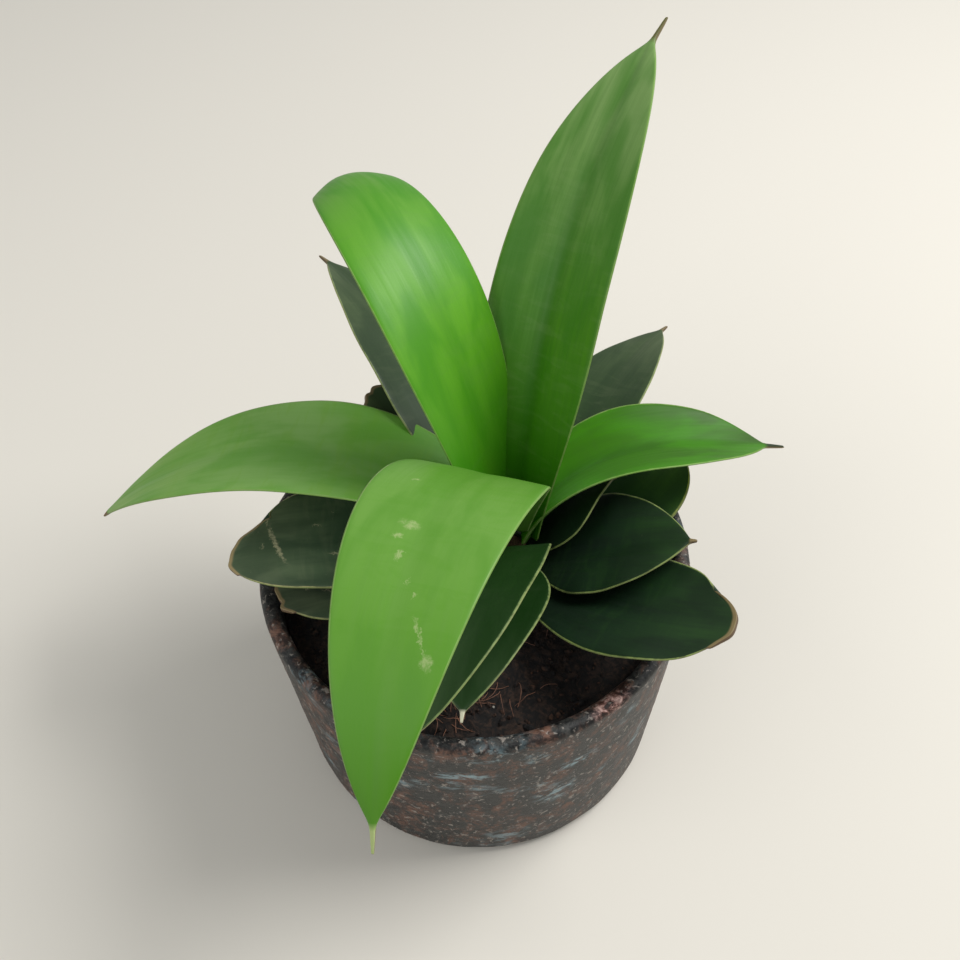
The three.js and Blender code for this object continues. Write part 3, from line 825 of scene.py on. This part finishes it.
# A leaf's face is a waxy skin, half glossy at most: fresh green on the young leaves.
# The underside is duller, and the thin edge between the two is paler.
young_skin = leaf_skin(
    "waxy_young_leaf", foot="#307002", blade="#4a8216", tip="#7a9a58", channel_shade_and_vein_colour="#285c08",
    margin="#7ba048", margin_width=0.22, bands=0.12, scars=0, sheen=0.05, spine="#5c5a30")
lime_skin = leaf_skin(
    "waxy_lime_leaf", foot="#347e02", blade="#5c9c1e", tip="#58803c", channel_shade_and_vein_colour="#4a8a14",
    margin="#7fae50", margin_width=0.2, bands=0.1, scars=0, sheen=0.1)
right_skin = leaf_skin(
    "waxy_channelled_leaf", foot="#418a02", blade="#387004", tip="#3c5626", channel_shade_and_vein_colour="#255600",
    margin="#7ba048", margin_width=0.3, bands=0.08, scars=0, sheen=0.04, spine="#26331a")
front_skin = leaf_skin(
    "waxy_broad_leaf", foot="#4e8422", blade="#66943c", tip="#4a8608", channel_shade_and_vein_colour="#5c8a34",
    margin="#7ea454", margin_width=0.25, bands=0.15, scars=0, sheen=0.06, spine="#a8b878",
    scar_colour="#a9b67e", marks=FRONT_MARKS)
left_skin = leaf_skin(
    "waxy_grey_green_leaf", foot="#4f8e1a", blade="#76a050", tip="#69992a", channel_shade_and_vein_colour="#6a9448",
    margin="#86a060", margin_width=0.25, bands=0.3, scars=0.25, sheen=0.05, spine="#6a4a2c")
young_underside = leaf_skin(
    "young_leaf_underside", foot="#52822a", blade="#648c46", tip="#5f7c4a", channel_shade_and_vein_colour="#588038",
    margin="#98b070", margin_width=0.4, bands=0.2, scars=0, sheen=0.05)
young_edge = leaf_skin(
    "young_leaf_edge", foot="#5f8c30", blade="#6e943c", tip="#74904a", channel_shade_and_vein_colour="#688c3a",
    margin="#74964a", margin_width=0.1, bands=0.2, scars=0, sheen=0.05)
young_skins = [young_skin, lime_skin, right_skin, front_skin, left_skin]
for number, leaf in enumerate(YOUNG_LEAVES):
    grow_leaf(leaf, number, [young_skins[number], young_underside, young_edge])

# ---- The old leaves ---------------------------------------------------------------
# Eleven older leaves round the outside, short, broad and nearly black-green with
# a fine pale margin. Several have lost their tips or are scarred and torn.

OLD_LEAVES = [
    dict(name="leaf_short_right", heading=(21, 20, -5), lean=(43, 49, 62), twist=(1, -5, -5),
         length=34, width=27, cup=(4, 3), reach=5, rise=6, widest=0.5, foot=0.5,
         spine=2, wave=0.5, groove=0.2, ragged=0),
    dict(name="leaf_front_fold", heading=(255, 249, 257), lean=(22, 65, 105), twist=(4, 11, 2),
         length=94, width=34, cup=(4, 2), reach=7, rise=11, widest=0.48, foot=0.68,
         spine=2, wave=1.2, groove=0.6, ragged=0),
    dict(name="leaf_back_right", heading=(56, 56, 48), lean=(50, 78, 98), twist=(-10, -16, -22),
         length=90, width=32, cup=(3, 2), reach=6, rise=3, widest=0.47, foot=0.5,
         spine=4, wave=0.8, groove=0.4, ragged=0),
    dict(name="leaf_back_left", heading=(122, 122, 131), lean=(46, 66, 90), twist=(10, 15, 26),
         length=106, width=33, cup=(3, 2), reach=7, rise=7, widest=0.5, foot=0.5,
         spine=5, wave=1.8, groove=0.4, ragged=0),
    dict(name="leaf_right_upper", heading=(16, 36, 46), lean=(64, 76, 82), twist=(0, 12, 0),
         length=56, width=36, cup=(3, 2), reach=8, rise=1.5, widest=0.51, foot=0.5,
         spine=1, wave=0.8, groove=0.4, ragged=0.6, slant=0, corner=5),
    dict(name="leaf_right_middle", heading=(-19, -20, -17), lean=(51, 59, 67), twist=(0, 8, 0),
         length=49, width=34, cup=(3, 2), reach=9, rise=5, widest=0.39, foot=0.5,
         spine=2, wave=0.8, groove=0.5, ragged=0),
    dict(name="leaf_front_short", heading=(261, 253, 264), lean=(45, 63, 100), twist=(0, 6, 8),
         length=69, width=31, cup=(4, 2), reach=8, rise=5, widest=0.47, foot=0.5,
         spine=3, wave=0.8, groove=0.5, ragged=0),
    dict(name="leaf_left_back", heading=(142, 136, 141), lean=(47, 55, 64), twist=(0, 1, 2),
         length=60, width=30, cup=(3, 2), reach=9, rise=3.5, widest=0.49, foot=0.5,
         spine=1, wave=1.0, groove=0.3, ragged=4, slant=1, corner=2),
    dict(name="leaf_left_middle", heading=(181, 187, 183), lean=(57, 79, 98), twist=(0, 0, 0),
         length=76, width=37, cup=(3, 2), reach=11, rise=3, widest=0.5, foot=0.5,
         spine=1, wave=1.2, groove=0.3, ragged=3, slant=-4, corner=7),
    dict(name="leaf_right_lower", heading=(-52, -36, -24), lean=(63, 62, 64), twist=(-1, -1, 3),
         length=69, width=37, cup=(3, 2), reach=11, rise=1, widest=0.46, foot=0.49,
         spine=1, wave=1.0, groove=0.4, ragged=1.5, slant=1, corner=6),
    dict(name="leaf_left_lower", heading=(193, 196, 199), lean=(68, 81, 90), twist=(0, 2, 6),
         length=63, width=32, cup=(3, 2), reach=11, rise=0.5, widest=0.49, foot=0.5,
         spine=1, wave=0.8, groove=0.3, ragged=3, slant=0, corner=2),
]
LEFT_MARKS = [                # on the two scarred leaves to the left, numbers 13 and 15
    mark(13, 64.5, 2.5, 21, 2.0, 65), mark(13, 70, -6, 5, 1.2, 50), mark(13, 67, -3, 4, 1, 20),
    mark(13, 72, -9, 5, 1, 60), mark(13, 69, 2, 3, 1, 80), mark(13, 52, -3, 4, 0.9, 5),
    mark(13, 47, 8, 5, 0.9, 10), mark(15, 57, 0, 9, 1, 70), mark(15, 50, 5, 7, 0.9, 30),
]
# Old leaves have a darker, duller skin with more scars, and a dry brown end where
# they are torn.
dark_skin = leaf_skin(
    "waxy_old_leaf", foot="#0f1d12", blade="#152c17", tip="#233f1a", channel_shade_and_vein_colour="#101f15",
    margin="#82944f", margin_width=0.42, bands=0.3, scars=0.4, sheen=0.1, spine="#7a6a48")
shade_skin = leaf_skin(
    "waxy_shaded_leaf", foot="#1c3a1c", blade="#254a20", tip="#3a5e14", channel_shade_and_vein_colour="#1c3a18",
    margin="#a3ad4c", margin_width=0.8, bands=0.3, scars=0.2, sheen=0.1, spine="#8f8a50")
grey_skin = leaf_skin(
    "waxy_old_back_leaf", foot="#24381f", blade="#2c4322", tip="#4c5b3c", channel_shade_and_vein_colour="#263a20",
    margin="#7c8a62", margin_width=0.5, bands=0.35, scars=0.3, sheen=0.04)
scarred_skin = leaf_skin(
    "scarred_old_leaf", foot="#223624", blade="#3a5238", tip="#5e6a4e", channel_shade_and_vein_colour="#2e4430",
    margin="#a39c6c", margin_width=0.5, bands=0.35, scars=0.65, sheen=0.05, spine="#8c7c58",
    marks=LEFT_MARKS)
fold_skin = leaf_skin(
    "waxy_old_front_leaf", foot="#0f3008", blade="#1c3a14", tip="#33482a", channel_shade_and_vein_colour="#14330c",
    margin="#80965c", margin_width=0.5, bands=0.2, scars=0.3, sheen=0.06, spine="#c8c6aa")
old_underside = leaf_skin(
    "old_leaf_underside", foot="#1f3224", blade="#2d4032", tip="#3c4a38", channel_shade_and_vein_colour="#26382b",
    margin="#8c9868", margin_width=0.5, bands=0.3, scars=0.2, sheen=0.04)
old_edge = leaf_skin(
    "old_leaf_edge", foot="#3e5428", blade="#707d48", tip="#9a9066", channel_shade_and_vein_colour="#5c6c38",
    margin="#838f54", margin_width=0.1, bands=0.5, scars=0.6, sheen=0.05, spine="#5f4c38")
old_skins = {
    "leaf_front_fold": fold_skin, "leaf_front_short": fold_skin, "leaf_back_right": grey_skin,
    "leaf_back_left": grey_skin, "leaf_left_back": grey_skin, "leaf_left_middle": scarred_skin,
    "leaf_left_lower": scarred_skin, "leaf_right_upper": shade_skin,
}
for number, leaf in enumerate(OLD_LEAVES):
    upper_skin = old_skins.get(leaf["name"], dark_skin)
    grow_leaf(leaf, number + len(YOUNG_LEAVES), [upper_skin, old_underside, old_edge])

# ---- The stem and roots ---------------------------------------------------------------
# The short underground stem and its thick roots, inside the mix. Their shape
# is right as it comes, so they only get their fleshy, corky skin.

root_skin = bpy.data.materials.new("corky_root")
root_skin.use_nodes = True
shader = root_skin.node_tree.nodes["Principled BSDF"]
shader.inputs["Roughness"].default_value = 0.8
place = add_node(root_skin, "ShaderNodeTexCoord").outputs["Object"]
# Cork flakes of 2.5 mm.
cork = add_node(
    root_skin, "ShaderNodeTexNoise", {"Scale": 400, "Detail": 5, "Roughness": 0.6}, {"Vector": place})
root_colour = add_node(
    root_skin, "ShaderNodeMix", {6: colour("#3c2b1a"), 7: colour("#6e563a")},
    {0: cork.outputs["Fac"]}, data_type="RGBA")
relief = add_node(
    root_skin, "ShaderNodeBump", {"Strength": 0.4, "Distance": 0.0003}, {"Height": cork.outputs["Fac"]})
root_skin.node_tree.links.new(root_colour.outputs[2], shader.inputs["Base Color"])
root_skin.node_tree.links.new(relief.outputs[0], shader.inputs["Normal"])
for material_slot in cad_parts["rootstock"].material_slots:
    material_slot.material = root_skin

# ---- The floor, the light and the camera --------------------------------------------------
# A pale plain floor, soft light from a large panel at the right and a weaker one
# at the left, and a camera that looks down at the plant from in front.

deselect_all()
bpy.ops.mesh.primitive_plane_add(size=12, location=(0, 0, 0))
floor = bpy.context.object
floor.name = "studio_floor"
plain = bpy.data.materials.new("pale_studio_floor")
plain.use_nodes = True
plain.node_tree.nodes["Principled BSDF"].inputs["Base Color"].default_value = colour("#d8d3c8")
plain.node_tree.nodes["Principled BSDF"].inputs["Roughness"].default_value = 0.8
floor.data.materials.append(plain)


def soft_light(name, place, width, power, target=(0, 0, 0.09)):
    """A square panel that faces the plant, its width in metres and its power in watts."""
    deselect_all()
    bpy.ops.object.light_add(type="AREA", location=place)
    light = bpy.context.object
    light.name = name
    light.data.shape = "SQUARE"
    light.data.size = width
    light.data.energy = power
    light.rotation_euler = (Vector(target) - Vector(place)).to_track_quat("-Z", "Y").to_euler()


soft_light("key_light", (0.7, 0.2, 1.0), 0.6, 13)
soft_light("fill_light", (-0.8, -0.5, 0.8), 0.9, 4)
world = bpy.data.worlds.new("studio_air")
world.use_nodes = True
world.node_tree.nodes["Background"].inputs["Color"].default_value = colour("#eef1f4")
world.node_tree.nodes["Background"].inputs["Strength"].default_value = 0.5
bpy.context.scene.world = world
bpy.context.scene.view_settings.view_transform = "Standard"

CAMERA_PLACE = (0.0024, -0.1813, 0.3468)
CAMERA_PITCH = 38.6           # degrees up from looking straight down
CAMERA_ROLL = -1.8
CAMERA_LENS = 39.375          # millimetres, on a sensor 36 mm wide
deselect_all()
bpy.ops.object.camera_add(location=CAMERA_PLACE)
camera = bpy.context.object
camera.name = "camera"
camera.data.lens = CAMERA_LENS
camera.data.sensor_width = 36
camera.data.clip_start = 0.01
camera.rotation_mode = "QUATERNION"
camera.rotation_quaternion = (
    Quaternion((1, 0, 0), math.radians(CAMERA_PITCH)) @ Quaternion((0, 0, 1), math.radians(CAMERA_ROLL)))
bpy.context.scene.camera = camera
